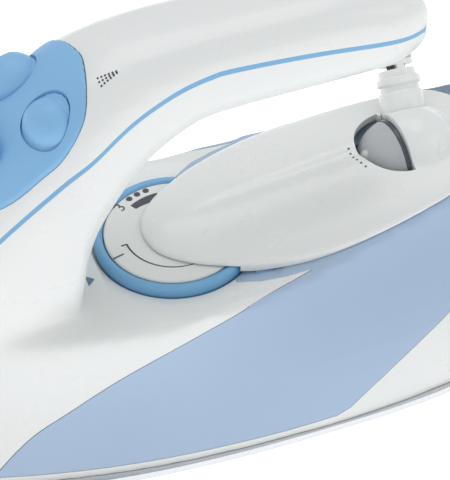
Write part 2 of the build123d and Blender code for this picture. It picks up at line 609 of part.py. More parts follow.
cord_lead = cord_tube(cord_points)
coil = Pos(coil_centre.X, coil_centre.Y, coil_height / 2) * (Cylinder(coil_mid + coil_width / 2, coil_height)
                                                           - Cylinder(coil_mid - coil_width / 2, coil_height + 2))
save("cord_lead", cord_lead - coil)
save("cord_coil", coil)
tie_x = coil_centre.X + coil_mid
tie_y = coil_centre.Y
tie_half = 7.0
tie_wrap = block(tie_x - coil_width / 2 - 1.2, tie_x + coil_width / 2 + 1.2, tie_y - tie_half, tie_y + tie_half,
                 0, coil_height + 1.2)
save("cord_tie", tie_wrap - coil)
plug_z = 18.5
plug_y = coil_centre.Y - coil_mid - coil_width / 2 - 22
plug_x = coil_centre.X - 30
plug_core = Pos(plug_x, plug_y, plug_z) * Rot(0, 90, 0) * Cylinder(18.5, 34)
plug_neck = Pos(plug_x + 29, plug_y, plug_z) * Rot(0, 90, 0) * Cone(9.5, 5.5, 24)
save("plug_body", plug_core + plug_neck)
pin_length = 19.0
pins = [Pos(plug_x - 17 - pin_length / 2, plug_y + dy, plug_z) * Rot(0, 90, 0) * Cylinder(2.4, pin_length)
        for dy in (-9.5, 9.5)]
save("plug_pins", Compound(pins))
tail_x = plug_x + 41
tail_points = [Vector(tail_x, plug_y, plug_z), Vector(tail_x + 16.5, plug_y, plug_z),
               Vector(tail_x + 31.5, plug_y + 8.3, 16), Vector(tail_x + 40, plug_y + 23, 12.5),
               Vector(tail_x + 40, plug_y + 43, 9.5), Vector(tail_x + 34, plug_y + 63, 8.8)]
save("cord_tail", cord_tube(tail_points) - coil)

# ---------------------------------------------------------------- heel
rear_plate_end = heel_face_x + 3.0
rear_cover = casing_form(0) & block(heel_face_x, rear_plate_end, -100, 100, 9.5, 50)
rear_cover = rear_cover - [Pos(heel_face_x, y, z) * Rot(0, 90, 0) * Cylinder(screw_radius + 0.2, 12)
                           for y, z in heel_screw_spots]
save("rear_cover", rear_cover)
save("rear_screws", Compound([Pos(heel_face_x + 0.5, y, z) * Rot(0, 90, 0) * Cylinder(screw_radius, 5)
                              + Pos(rear_plate_end + 0.7, y, z) * Rot(0, 90, 0) * Cylinder(2.8, 1.4)
                              for y, z in heel_screw_spots]))
feet_end = half_length
save("heel_feet", Compound([block(rear_plate_end, feet_end, y - 5, y + 5, z - 4, z + 4)
                            for y, z in ((-20, 14), (20, 14), (-12, 42), (12, 42))]))
save("terminal_block", block(heel_face_x - wall - 14, heel_face_x - wall, -12, 12, 30, 42))
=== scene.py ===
import bpy
import bmesh
import json
import math
from mathutils import Matrix, Vector


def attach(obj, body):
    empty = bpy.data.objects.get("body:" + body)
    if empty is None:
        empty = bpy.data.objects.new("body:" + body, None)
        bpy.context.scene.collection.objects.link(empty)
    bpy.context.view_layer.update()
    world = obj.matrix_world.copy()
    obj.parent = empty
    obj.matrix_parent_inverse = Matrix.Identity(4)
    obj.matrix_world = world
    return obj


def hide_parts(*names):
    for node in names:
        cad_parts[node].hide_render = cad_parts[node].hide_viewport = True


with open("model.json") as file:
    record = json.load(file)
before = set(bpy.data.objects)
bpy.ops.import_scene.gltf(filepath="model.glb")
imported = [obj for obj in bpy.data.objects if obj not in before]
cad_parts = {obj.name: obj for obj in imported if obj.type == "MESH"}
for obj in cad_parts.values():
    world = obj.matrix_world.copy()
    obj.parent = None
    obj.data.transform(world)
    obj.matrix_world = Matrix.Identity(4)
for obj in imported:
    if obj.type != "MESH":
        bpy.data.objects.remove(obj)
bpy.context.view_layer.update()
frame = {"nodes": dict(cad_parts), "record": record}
nodes = frame["nodes"]

# ---------------------------------------------------------------- studio
# The iron stands on a plain white table, under a large overhead softbox and a tall
# softbox on its near left. The camera looks down at the dial from the near side.
scene = bpy.context.scene
scene.view_settings.view_transform = "Standard"
MM = 0.001


def srgb(red, green, blue):
    """A colour as it is seen, from 0 to 255, made linear for a shader."""
    def linear(level):
        level /= 255.0
        return level / 12.92 if level <= 0.04045 else ((level + 0.055) / 1.055) ** 2.4
    return (linear(red), linear(green), linear(blue), 1.0)


def softbox(name, place, target, size, watts, tint=(1.0, 1.0, 1.0)):
    light = bpy.data.lights.new(name, "AREA")
    light.shape = "RECTANGLE"
    light.size, light.size_y = size
    light.energy = watts
    light.color = tint
    lamp = bpy.data.objects.new(name, light)
    lamp.location = place
    lamp.rotation_euler = (Vector(target) - Vector(place)).to_track_quat("-Z", "Y").to_euler()
    scene.collection.objects.link(lamp)
    return lamp


aim = Vector((15.4, -8.9, 59.7)) * MM
view_azimuth = math.radians(-22.5)
view_elevation = math.radians(45.3)
view_distance = 584.2 * MM
toward_camera = Vector((math.sin(view_azimuth) * math.cos(view_elevation),
                        -math.cos(view_azimuth) * math.cos(view_elevation),
                        math.sin(view_elevation)))
camera_data = bpy.data.cameras.new("studio_camera")
camera_data.sensor_fit = "VERTICAL"
camera_data.sensor_height = 36.0
camera_data.lens = 127.5
camera_data.clip_start = 0.01
camera = bpy.data.objects.new("studio_camera", camera_data)
camera.location = aim + toward_camera * view_distance
camera.rotation_euler = (-toward_camera).to_track_quat("-Z", "Y").to_euler()
scene.collection.objects.link(camera)
scene.camera = camera

world = bpy.data.worlds.new("white_room")
world.use_nodes = True
world.node_tree.nodes["Background"].inputs["Color"].default_value = (0.97, 0.985, 1.0, 1.0)
world.node_tree.nodes["Background"].inputs["Strength"].default_value = 0.66
scene.world = world
softbox("overhead_softbox", (0.15, 0.35, 1.1), (0.0, 0.0, 0.05), (0.9, 0.7), 3.0)
softbox("near_softbox", (-0.75, -0.55, 0.55), (0.0, 0.0, 0.06), (0.35, 0.5), 0.5)
softbox("heel_softbox", (0.9, -0.5, 0.75), (0.05, 0.0, 0.05), (0.5, 0.5), 0.8)

floor_mesh = bmesh.new()
bmesh.ops.create_grid(floor_mesh, x_segments=8, y_segments=8, size=3.0)
table = bpy.data.meshes.new("table_top")
floor_mesh.to_mesh(table)
floor_mesh.free()
table_top = bpy.data.objects.new("table_top", table)
scene.collection.objects.link(table_top)
table_finish = bpy.data.materials.new("white_table")
table_finish.use_nodes = True
table_shader = table_finish.node_tree.nodes["Principled BSDF"]
table_shader.inputs["Base Color"].default_value = (0.9, 0.9, 0.9, 1.0)
table_shader.inputs["Roughness"].default_value = 0.9
table_shader.inputs["Emission Color"].default_value = (1.0, 1.0, 1.0, 1.0)
table_shader.inputs["Emission Strength"].default_value = 0.66
table.materials.append(table_finish)


# ---------------------------------------------------------------- casing and handle blank
# The casing and the handle are drawn as one flowing body of ABS, then parted along the
# real parting lines into skirt, water tank, housing, trim and handle top.
class Value:
    """A number, colour or vector inside a finish; arithmetic on it adds the Math nodes."""

    def __init__(self, finish, out):
        self.finish, self.out = finish, out

    def maths(self, operation, *values):
        return self.finish.node("ShaderNodeMath", {"operation": operation},
                                dict(enumerate(values)))

    def __add__(self, other): return self.maths("ADD", self, other)
    def __sub__(self, other): return self.maths("SUBTRACT", self, other)
    def __mul__(self, other): return self.maths("MULTIPLY", self, other)


class Finish:
    """A surface finish: one Principled shader and the nodes that vary it."""

    def __init__(self, name, **surface):
        self.material = bpy.data.materials.new(name)
        self.material.use_nodes = True
        self.shader = self.material.node_tree.nodes["Principled BSDF"]
        self.place = self.node("ShaderNodeTexCoord", output="Object")
        for socket, value in surface.items():
            self.feed(self.shader.inputs[socket.replace("_", " ")], value)

    def feed(self, socket, value):
        if isinstance(value, Value):
            self.material.node_tree.links.new(value.out, socket)
        else:
            socket.default_value = value

    def node(self, kind, settings=None, inputs=None, output=0):
        made = self.material.node_tree.nodes.new(kind)
        for key, value in (settings or {}).items():
            setattr(made, key, value)
        for key, value in (inputs or {}).items():
            self.feed(made.inputs[key], value)
        return Value(self, made.outputs[output])

    def noise(self, scale, detail=3.0):
        return self.node("ShaderNodeTexNoise", None,
                         {"Vector": self.place, "Scale": scale, "Detail": detail})

    def mix(self, factor, one, two):
        return self.node("ShaderNodeMix", {"data_type": "RGBA"},
                         {0: factor, 6: one, 7: two}, 2)

    def bump(self, height, depth, strength=0.3):
        rough = self.node("ShaderNodeBump", None,
                          {"Height": height, "Distance": depth, "Strength": strength})
        self.feed(self.shader.inputs["Normal"], rough)

    def set(self, socket, value):
        self.feed(self.shader.inputs[socket], value)


def moulded(name, colour, roughness, deeper, grain=700.0, depth=0.00004, coat=0.0):
    """Injection moulding: a faint drift of colour, uneven gloss and a fine skin."""
    finish = Finish(name)
    drift = finish.noise(22.0)
    finish.set("Base Color", finish.mix(drift, srgb(*colour), srgb(*deeper)))
    finish.set("Roughness", finish.noise(60.0) * 0.06 + (roughness - 0.03))
    finish.set("Coat Weight", coat)
    finish.set("Coat Roughness", 0.05)
    finish.bump(finish.noise(grain, 2.0), depth, 0.15)
    return finish


white_gloss = moulded("white_gloss_abs", (232, 234, 232), 0.28, (228, 230, 229), coat=0.18)
tank_frosted = moulded("frosted_blue_tank", (170, 192, 216), 0.42, (162, 185, 211),
                       grain=2600.0, depth=0.00005)


def curve_through(points, count, closed=False):
    """Places on a smooth line through the points."""
    spans = len(points) if closed else len(points) - 1
    places = []
    for step in range(count):
        t = step * spans / (count if closed else count - 1)
        k = min(int(t), spans - 1)
        f = t - k
        if closed:
            a, b, c, d = (points[(k + j) % len(points)] for j in (-1, 0, 1, 2))
        else:
            a, b, c, d = (points[max(0, min(len(points) - 1, k + j))] for j in (-1, 0, 1, 2))
        places.append((2 * b + (c - a) * f + (2 * a - 5 * b + 4 * c - d) * f ** 2
                       + (3 * b - a - 3 * c + d) * f ** 3) / 2)
    return places


def ring(bm, places):
    """One closed loop of edges through the places, started from a circle."""
    made = bmesh.ops.create_circle(bm, segments=len(places), radius=1.0)["verts"]
    for vert, place in zip(made, places):
        vert.co = place
    return list({edge for vert in made for edge in vert.link_edges})


def loft(rings):
    """A closed skin over a row of rings."""
    bm = bmesh.new()
    loops = [ring(bm, places) for places in rings]
    for one, two in zip(loops, loops[1:]):
        bmesh.ops.bridge_loops(bm, edges=one + two)
    bmesh.ops.holes_fill(bm, edges=loops[0] + loops[-1], sides=0)
    bmesh.ops.recalc_face_normals(bm, faces=bm.faces)
    return bm


def prism(outline, reach):
    """A flat outline drawn out along a vector."""
    bm = bmesh.new()
    ring(bm, [Vector(place) for place in outline])
    face = bmesh.ops.contextual_create(bm, geom=bm.edges)["faces"]
    drawn = bmesh.ops.extrude_face_region(bm, geom=face)["geom"]
    moved = [item for item in drawn if isinstance(item, bmesh.types.BMVert)]
    bmesh.ops.translate(bm, vec=reach, verts=moved)
    bmesh.ops.recalc_face_normals(bm, faces=bm.faces)
    return bm


def under_line(line, low=-40.0, half=90.0):
    """Everything under a line along the iron, across its whole width."""
    outline = [(x, -half, z) for x, z in line]
    outline += [(line[-1][0], -half, low), (line[0][0], -half, low)]
    return prism(outline, (0, 2 * half, 0))


def box_form(x0, x1, y0, y1, z0, z1):
    return prism([(x0, y0, z0), (x1, y0, z0), (x1, y1, z0), (x0, y1, z0)], (0, 0, z1 - z0))


def solid(bm, name="blank"):
    mesh = bpy.data.meshes.new(name)
    bm.to_mesh(mesh)
    bm.free()
    made = bpy.data.objects.new(name, mesh)
    scene.collection.objects.link(made)
    return made


def settle(part):
    """Turns a part's modifiers into its mesh."""
    bpy.context.view_layer.update()
    graph = bpy.context.evaluated_depsgraph_get()
    mesh = bpy.data.meshes.new_from_object(part.evaluated_get(graph))
    part.modifiers.clear()
    part.data = mesh
    return part


def carve(part, *tools, how="DIFFERENCE"):
    """Cuts, joins or trims a part with tools, which are used up."""
    for tool in tools:
        tool = solid(tool) if isinstance(tool, bmesh.types.BMesh) else tool
        cut = part.modifiers.new("cut", "BOOLEAN")
        cut.operation = how
        cut.solver = "MANIFOLD"
        cut.object = tool
        settle(part)
        bpy.data.objects.remove(tool)
    return part


def twin(part):
    """A second copy of a part."""
    made = bpy.data.objects.new(part.name, part.data.copy())
    scene.collection.objects.link(made)
    return made


def skin_over(part, voxel, rounds, divide=1):
    """Remakes a part as one even skin, softens it and divides it."""
    skin = part.modifiers.new("skin", "REMESH")
    skin.mode = "VOXEL"
    skin.voxel_size = voxel
    soften = part.modifiers.new("soften", "SMOOTH")
    soften.factor = 0.5
    soften.iterations = rounds
    if divide:
        finer = part.modifiers.new("finer", "SUBSURF")
        finer.levels = finer.render_levels = divide
    return settle(part)


def place_piece(part, name, finish, body="root", stands_for=(), crease=0.55):
    """Finishes a part: millimetres to metres, creased edges, finish and body."""
    part.name = name
    part.data.name = name
    bm = bmesh.new()
    bm.from_mesh(part.data)
    bmesh.ops.scale(bm, vec=(MM, MM, MM), verts=bm.verts)
    bmesh.ops.remove_doubles(bm, verts=bm.verts, dist=1e-6)
    for face in bm.faces:
        face.smooth = True
    for edge in bm.edges:
        edge.smooth = edge.calc_face_angle(0.0) < crease
    bm.to_mesh(part.data)
    bm.free()
    part.data.materials.clear()
    part.data.materials.append(finish.material)
    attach(part, body)
    if stands_for:
        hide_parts(*stands_for)
    return part


wall = 2.5
part_gap = 0.3
sole_top_z = 3.0
deck_z = 60.0
casing_plans = [
    (sole_top_z, -141, [(-128, 11), (-105, 25.5), (-70, 40), (-20, 51.5), (40, 56.5),
                        (92, 54.5), (122, 47), (139, 34)], 142),
    (30.0, -131, [(-119, 9.5), (-98, 20), (-66, 32.5), (-20, 43.5), (40, 50),
                  (90, 48), (118, 42), (137, 30)], 140),
    (61.0, -112, [(-101, 10), (-84, 20), (-58, 31), (-15, 39.8), (36, 37),
                  (86, 32.5), (112, 29), (133, 22)], 136),
    (80.0, -100, [(-90, 9), (-74, 18), (-52, 27), (-15, 33.5), (36, 31),
                  (83, 27), (106, 23), (128, 16)], 131)]
handle_stations = [
    (-108, 60, 66, 10), (-100, 60, 77, 16), (-88, 60, 94, 21), (-76, 60, 110, 25),
    (-64, 60, 125, 27), (-51, 60, 135.7, 27), (-42.5, 60, 141, 26.5), (-36, 77, 144.5, 25.2),
    (-27.5, 93, 148, 23.2), (-14.5, 108, 151.2, 20.4), (2, 117.5, 152.6, 18.2),
    (16, 119.5, 152.6, 17.5), (50, 119.5, 152, 17.5), (74, 119.5, 148, 16),
    (86, 122.5, 142, 11)]
deck_line = [(-200, deck_z), (20, deck_z), (36, 61.5), (92, 69.5), (150, 76)]
heel_x = 134.5


def casing_blank(inset, low_drop=0.0):
    """The flaring casing below the deck, drawn in by a wall."""
    plans = []
    for z, nose, flank, heel in casing_plans:
        near = [Vector((x + inset * 0.5, -(half - inset), 0)) for x, half in flank]
        far = [Vector((p.x, -p.y, 0)) for p in reversed(near)]
        tip = Vector((nose + 2.2 * inset, 0, 0))
        back = Vector((heel - inset, 0, 0))
        outline = curve_through([tip, *near, back, *far], 96, closed=True)
        plans.append([p + Vector((0, 0, z)) for p in outline])
    heights = 13
    columns = [curve_through(list(column), heights) for column in zip(*plans)]
    rings = [[column[level] for column in columns] for level in range(heights)]
    rings[0] = [p - Vector((0, 0, low_drop)) for p in rings[0]]
    part = solid(loft(rings))
    sink = 6.8 if inset else 0.0
    deck = [(x, z - sink) for x, z in deck_line]
    carve(part, under_line(deck), how="INTERSECT")
    return carve(part, box_form(-400, heel_x - inset, -100, 100, -60, 200), how="INTERSECT")


def handle_blank(inset, foot_z):
    """The leg, head and grip as rounded sections along the iron."""
    rings = []
    last = len(handle_stations) - 1
    for number, (x, low, high, half) in enumerate(handle_stations):
        low = foot_z if low == deck_z else low + inset
        x += inset * (number == 0) - inset * (number == last)
        middle, reach = (low + high - inset) / 2, (high - inset - low) / 2
        section = []
        for step in range(40):
            turn = 2 * math.pi * (step + 0.5) / 40
            across, up = math.cos(turn), math.sin(turn)
            section.append(Vector((x, (half - inset) * math.copysign(abs(across) ** 0.667, across),
                                   middle + reach * math.copysign(abs(up) ** 0.667, up))))
        rings.append(section)
    columns = [curve_through(list(column), 4 * last + 1) for column in zip(*rings)]
    return solid(loft([[column[k] for column in columns] for k in range(4 * last + 1)]))


body_blank = carve(casing_blank(0.0, 3.0), handle_blank(0.0, 44.0), how="UNION")
skin_over(body_blank, 2.0, 2, divide=0)


def fillet_pull(place):
    """How strongly the skin is drawn round where the leg rises from the deck."""
    near_deck = max(0.0, 1.0 - abs(place.z - 64.0) / 16.0)
    along_leg = 1.0 if place.x < -55 else max(0.35, 1.0 - (place.x + 55) / 20.0)
    along_leg *= place.x < -8
    return near_deck * along_leg


root_zone = body_blank.vertex_groups.new(name="leg_root")
for vertex in body_blank.data.vertices:
    pull = fillet_pull(vertex.co)
    if pull > 0:
        root_zone.add([vertex.index], min(1.0, 1.6 * pull), "REPLACE")
blend_root = body_blank.modifiers.new("blend_root", "SMOOTH")
blend_root.vertex_group = "leg_root"
blend_root.factor = 0.5
blend_root.iterations = 30
finer = body_blank.modifiers.new("finer", "SUBSURF")
finer.levels = finer.render_levels = 1
settle(body_blank)
carve(body_blank, box_form(-400, 400, -100, 100, -40, sole_top_z + 0.15))

cavity = carve(casing_blank(wall, 12.0), handle_blank(wall, 52.0), how="UNION")
skin_over(cavity, 2.5, 1, divide=0)
carve(cavity, box_form(-400, -113.5, -100, 100, -40, 100))
bracket_blank = carve(twin(cavity), box_form(-84, -36, -26, 26, 81, 84), how="INTERSECT")
shell = carve(twin(body_blank), cavity)

# ---------------------------------------------------------------- skirt
# White moulded skirt round the heater, from the soleplate up to the water tank; its upper
# line sweeps up to the heel. It is screwed down to the cast block.
skirt_line = [(-200, 6), (20, 6), (39, 6.5), (44, 8.4), (53.7, 15.2), (63.8, 21.6), (74.2, 27.4),
              (84.6, 32.6), (105, 43), (125, 51.5), (150, 57)]


def shifted(line, rise):
    return [(x, z + rise) for x, z in line]


skirt = carve(twin(shell), under_line(shifted(skirt_line, -part_gap / 2)), how="INTERSECT")
place_piece(skirt, "skirt_shell", white_gloss, stands_for=["skirt"])

# ---------------------------------------------------------------- water tank
# Frosted blue water tank, blow-moulded to the casing's flank. The white housing overlaps
# its front in a long falling curve, and the platform cover stands on its top.
saddle_points = [(-96, -10), (-70, 17.5), (-52, 30), (-31, 43.5), (-10, 52.8), (12, 58.6),
                 (37, 62.2)]
saddle_line = [(p.x, p.y) for p in
               curve_through([Vector((x, z, 0)) for x, z in saddle_points], 40)]
flat_x = 11.8
saddle_slope = [place for place in saddle_line if place[0] < flat_x]
housing_side = [(-220, -30), (-100, -30), *saddle_slope, (flat_x, 58.7), (flat_x, 79), (220, 79),
                (220, 200), (-220, 200)]
tail_plan = [(11.4, -39.4), (23.7, -36.9), (36.6, -34.4), (28, -33.7), (19, -31.8), (11.8, -28.3),
             (11.4, 0)]


def side_cut(line, half=90.0):
    return prism([(x, -half, z) for x, z in line], (0, 2 * half, 0))


def tail_form(side, grow=0.0):
    """The pointed tail of the housing, lying on the deck beside the platform cover."""
    return prism([(x + grow * (x > flat_x), side * (y - grow * (x > 11.7 and y < -34)), 52)
                  for x, y in tail_plan], (0, 0, 20))


recess_z = 56.6
recess_profile = [(28.4, recess_z), (28.45, 58.0), (28.8, 58.5), (30.0, 58.85), (31.6, 59.15),
                  (33.4, 59.5), (35.2, 59.8), (37.0, 59.98), (40.5, 60.4), (47.0, 64.0),
                  (47.0, 90.0)]


def turned(profile, steps=96, centre=(0, 0)):
    """A form turned about an upright axis from its half profile, closed at both ends."""
    rings = []
    for radius, z in profile:
        rings.append([Vector((centre[0] + radius * math.cos(2 * math.pi * k / steps),
                              centre[1] + radius * math.sin(2 * math.pi * k / steps), z))
                      for k in range(steps)])
    return loft(rings)


def recess_tool():
    """Room for the dial: a dish on the open deck, a plain well against the leg."""
    dish = carve(solid(turned(recess_profile)), box_form(-29.6, 80, -60, 60, 50, 100),
                 how="INTERSECT")
    leg_side = turned([(28.4, recess_z), (28.5, 58.4), (29.6, 60), (30.4, 64), (31.0, 78)])
    return dish, leg_side


tank = carve(twin(shell), side_cut([(x + 0.25, z - 0.25) for x, z in housing_side]),
             tail_form(1, 0.25), tail_form(-1, 0.25), under_line(shifted(skirt_line, part_gap / 2)))
carve(tank, box_form(-200, 200, -100, 100, -20, 78), how="INTERSECT")
carve(tank, *recess_tool())
place_piece(tank, "water_tank_shell", tank_frosted, stands_for=["water_tank"])

# ---------------------------------------------------------------- housing
# White housing over the front of the tank: it rises in one sweep into the leg and the
# underside of the grip. The dial sits in a dished round recess in its deck.
trim_points = [(-125, 49), (-100, 66), (-88, 82), (-76, 95.5), (-65.7, 105.3), (-58.9, 110.7),
               (-50.4, 116.4), (-38.5, 123.5), (-31.6, 127.3), (-26.2, 130.6), (-20.8, 133.5),
               (-13.8, 136.4), (-3.4, 139.6), (6.9, 141.1), (16, 141.2), (45, 138.8), (75, 134),
               (100, 130)]
trim_line = [(p.x, p.y) for p in
             curve_through([Vector((x, z, 0)) for x, z in trim_points], 90)]
trim_height = 1.8
housing_zone = carve(solid(side_cut(housing_side)), tail_form(1), tail_form(-1), how="UNION")
housing_blank = carve(twin(shell), housing_zone, how="INTERSECT")
carve(housing_blank, under_line(shifted(skirt_line, part_gap / 2)))
carve(housing_blank, under_line(shifted(trim_line, -trim_height / 2)), how="INTERSECT")
carve(housing_blank, *recess_tool(), turned([(3.4, 40), (3.4, 80)], 32))

# ---------------------------------------------------------------- handle trim and top shell
# A sky blue line is pinched between the two halves of the handle; the white top half
# carries the soft keypad.
sky_satin = moulded("sky_blue_satin", (118, 176, 217), 0.34, (110, 168, 211), coat=0.15)
trim_blank = carve(twin(shell), under_line(shifted(trim_line, trim_height / 2)), how="INTERSECT")
carve(trim_blank, under_line(shifted(trim_line, -trim_height / 2)),
      box_form(-200, 200, -100, 100, -40, 62.5))

upper_blank = carve(twin(shell), under_line(shifted(trim_line, trim_height / 2)))
carve(upper_blank, box_form(-200, 200, -100, 100, -40, 62.5))

# ---------------------------------------------------------------- keypad
# Soft blue elastomer, moulded over the head of the handle in one thin skin. It stands
# a little proud, with rounded edges, and the two buttons and the slider come through it.
elastomer = moulded("soft_blue_elastomer", (138, 188, 228), 0.46, (129, 181, 224),
                    grain=3200.0, depth=0.00006)
keypad_plan = [(-28.2, 0), (-29.4, 7), (-31.2, 13), (-33.2, 17.5), (-35.8, 20), (-40, 21.5),
               (-48, 22.5), (-62, 22.3), (-76, 17), (-84, 8), (-86, 0)]
keypad_edge = curve_through([Vector((x, -y, 95)) for x, y in keypad_plan]
                            + [Vector((x, y, 95)) for x, y in reversed(keypad_plan[1:-1])],
                            120, True)


def plan_prism(grow):
    middle = Vector((-56, 0, 95))
    return prism([p + (p - middle).normalized() * grow for p in keypad_edge], (0, 0, 80))


def grown(part, reach):
    """A copy of a blank, swollen or shrunk along its normals."""
    made = twin(part)
    bm = bmesh.new()
    bm.from_mesh(made.data)
    bm.normal_update()
    moved = [(vert, vert.co + vert.normal * reach) for vert in bm.verts]
    for vert, place in moved:
        vert.co = place
    bm.to_mesh(made.data)
    bm.free()
    return made


def well(radius, centre, low, high):
    return turned([(radius, low), (radius, high)], 64, centre)


head_blank = carve(twin(body_blank), box_form(-100, -20, -40, 40, 84, 170), how="INTERSECT")
spray_centre = (-44.5, -12.5)
shot_centre = (-48.5, 12.6)
spray_radius = 7.6
shot_radius = 9.2
slide_gap = 0.14
slot_box = (-77.5, -58.5, -7.7, -2.3, 100, 160)
keypad = carve(grown(head_blank, 0.6), plan_prism(0.0), how="INTERSECT")
carve(keypad, grown(head_blank, -1.5))
skin_over(keypad, 0.62, 3, divide=0)
carve(keypad, well(spray_radius + slide_gap, spray_centre, 108, 170),
      well(shot_radius + slide_gap, shot_centre, 108, 170), box_form(*slot_box))
place_piece(keypad, "keypad_skin", elastomer, stands_for=["keypad"], crease=0.9)
carve(upper_blank, carve(solid(plan_prism(0.2)), grown(head_blank, -1.6)),
      well(spray_radius + slide_gap, spray_centre, 108, 170),
      well(shot_radius + slide_gap, shot_centre, 108, 170), box_form(*slot_box))

# ---------------------------------------------------------------- buttons and steam slider
# Two domed push buttons of the same blue elastomer over hard cores, each with a flat
# where the thumb rolls on, and a square slider that lifts the steam valve.
def ball(centre, radii, segments=96):
    bm = bmesh.new()
    bmesh.ops.create_uvsphere(bm, u_segments=segments, v_segments=segments // 2, radius=1.0)
    bmesh.ops.scale(bm, vec=radii, verts=bm.verts)
    bmesh.ops.translate(bm, vec=centre, verts=bm.verts)
    return bm


def domed_button(name, centre, radius, rise, foot, out, flat, body, node):
    """A button whose dome stands square on the sloping head, with a thumb flat on top."""
    out = Vector(out).normalized()
    flat = Vector(flat).normalized()
    swell = (radius ** 2 + rise ** 2) / (2 * rise)
    middle = Vector((*centre, foot)) - out * (swell - rise)
    dome = solid(ball(middle, (swell,) * 3))
    carve(dome, prism_facing(middle + flat * swell * 0.94, flat))
    carve(dome, well(radius, centre, 112, 170), how="INTERSECT")
    stem = carve(twin(head_blank), well(radius, centre, 120, 170), how="INTERSECT")
    carve(dome, stem, how="UNION")
    skin_over(dome, 0.4, 4, divide=0)
    return place_piece(dome, name, elastomer, body, [node], crease=1.2)


def prism_facing(place, normal, reach=30.0):
    """A thick plate whose face stands at a place and looks along a direction."""
    plate = box_form(-reach, reach, -reach, reach, 0, reach)
    turn = normal.to_track_quat("Z", "Y").to_matrix().to_4x4()
    bmesh.ops.transform(plate, matrix=Matrix.Translation(place) @ turn, verts=plate.verts)
    return plate


domed_button("spray_button_cap", spray_centre, spray_radius, 5.2, 137.2, (-0.42, -0.3, 0.86),
             (-0.14, 0.2, 0.95), "spray_key", "spray_button")
domed_button("shot_button_cap", shot_centre, shot_radius, 6.6, 136.6, (-0.45, 0.25, 0.86),
             (-0.2, 0.7, 0.7), "shot_key", "shot_button")
slider = carve(grown(head_blank, 3.6), box_form(-76, -60, -14, 4, 100, 150), how="INTERSECT")
carve(slider, grown(head_blank, 0.75))
skin_over(slider, 0.6, 6, divide=0)
carve(slider, box_form(-71.8, -64.2, -7.0, -3.0, 112.5, 124.0), how="UNION")
place_piece(slider, "steam_slider_cap", elastomer, "steam_control",
            ["steam_slider"], crease=1.0)

# ---------------------------------------------------------------- fill door
# A small frosted door over the filling funnel, hinged on a steel pin along its upper edge,
# with a thumb lip at its lower edge.
door_slope = math.atan2(17, 12)
door_along = Vector((math.cos(door_slope), 0, math.sin(door_slope)))
door_out = Vector((-door_along.z, 0, door_along.x))
door_frame = Matrix.Translation((-94, 0, 85.5)) @ Matrix((
    (door_along.x, 0, door_out.x, 0), (0, 1, 0, 0), (door_along.z, 0, door_out.z, 0), (0, 0, 0, 1)))


def on_door(bm):
    bmesh.ops.transform(bm, matrix=door_frame, verts=bm.verts)
    return bm


def rounded(bm, reach, segments=3):
    """Breaks every sharp edge of a form."""
    sharp = [edge for edge in bm.edges if edge.calc_face_angle(0.0) > 0.5]
    bmesh.ops.bevel(bm, geom=sharp, offset=reach, segments=segments, affect="EDGES",
                    profile=0.5, material=-1)
    return bm


door_window = box_form(-9.7, 10.9, -11.4, 11.4, -6, 30)
for host in (housing_blank, upper_blank, trim_blank):
    carve(host, on_door(door_window.copy()))
door = solid(on_door(rounded(box_form(-9, 9, -9, 9, -2, 0.2), 0.7)))
carve(door, on_door(rounded(prism([(-7.2, -4.5, -0.5), (-5.2, -5.5, -0.5), (-5.2, 5.5, -0.5),
                                   (-7.2, 4.5, -0.5)], (0, 0, 2)), 0.3)))
place_piece(door, "fill_door_lid", tank_frosted, "fill_lid", ["fill_door"])

place_piece(housing_blank, "housing_and_leg", white_gloss,
            stands_for=["upper_shell", "handle_lower"])
place_piece(trim_blank, "handle_trim_line", sky_satin, stands_for=["handle_trim"])
place_piece(upper_blank, "handle_top_shell", white_gloss,
            stands_for=["handle_upper"])
for spare in (shell, head_blank):
    bpy.data.objects.remove(spare)

# ---------------------------------------------------------------- dial
# The temperature dial: a sky blue grip ring pressed on a white printed face. Its scale is
# a bar that swells from 1 to 3, with three steam dots by the 3.
dial_top_z = 62.0
face_radius = 24.2
ring_radius = 28.0
ring_low_z = 57.0


def turned_ring(profile, steps=128):
    """A closed ring turned from a closed half profile."""
    bm = bmesh.new()
    start = ring(bm, [Vector((radius, 0, z)) for radius, z in profile])
    bmesh.ops.spin(bm, geom=bm.verts[:] + bm.edges[:], axis=(0, 0, 1), cent=(0, 0, 0),
                   steps=steps, angle=2 * math.pi, use_merge=True)
    bmesh.ops.remove_doubles(bm, verts=bm.verts, dist=0.001)
    bmesh.ops.recalc_face_normals(bm, faces=bm.faces)
    return bm


ring_profile = [(face_radius + 0.05, ring_low_z), (ring_radius - 0.5, ring_low_z),
                (ring_radius - 0.05, ring_low_z + 0.5), (ring_radius, dial_top_z - 3.2)]
for step in range(13):
    turn = math.radians(90 - 180 * (step + 0.5) / 13)
    swell = (ring_radius - face_radius - 0.2) / 2
    ring_profile.append((face_radius + 0.15 + swell + swell * math.sin(turn),
                         dial_top_z - 1.8 + 2.0 * math.cos(turn)))
ring_profile.append((face_radius + 0.05, dial_top_z - 3.2))
place_piece(solid(turned_ring(ring_profile)), "dial_grip_ring", sky_satin, "dial",
            ["dial_ring"], crease=1.0)
face_white = moulded("printed_face_white", (227, 229, 226), 0.3, (222, 225, 222), coat=0.2)
face_profile = [(6.0, ring_low_z), (6.0, dial_top_z - 2.5), (face_radius - 0.6, dial_top_z - 2.5),
                (face_radius - 0.05, dial_top_z - 2.0), (face_radius - 0.05, dial_top_z - 0.5),
                (face_radius - 0.5, dial_top_z - 0.12), (face_radius - 3.0, dial_top_z - 0.02),
                (0.3, dial_top_z)]
place_piece(solid(turned(face_profile, 128)), "dial_face_disc", face_white,
            "dial", ["dial_face"])
print_slate = moulded("slate_print", (72, 78, 88), 0.5, (66, 72, 82))
ink = 0.05


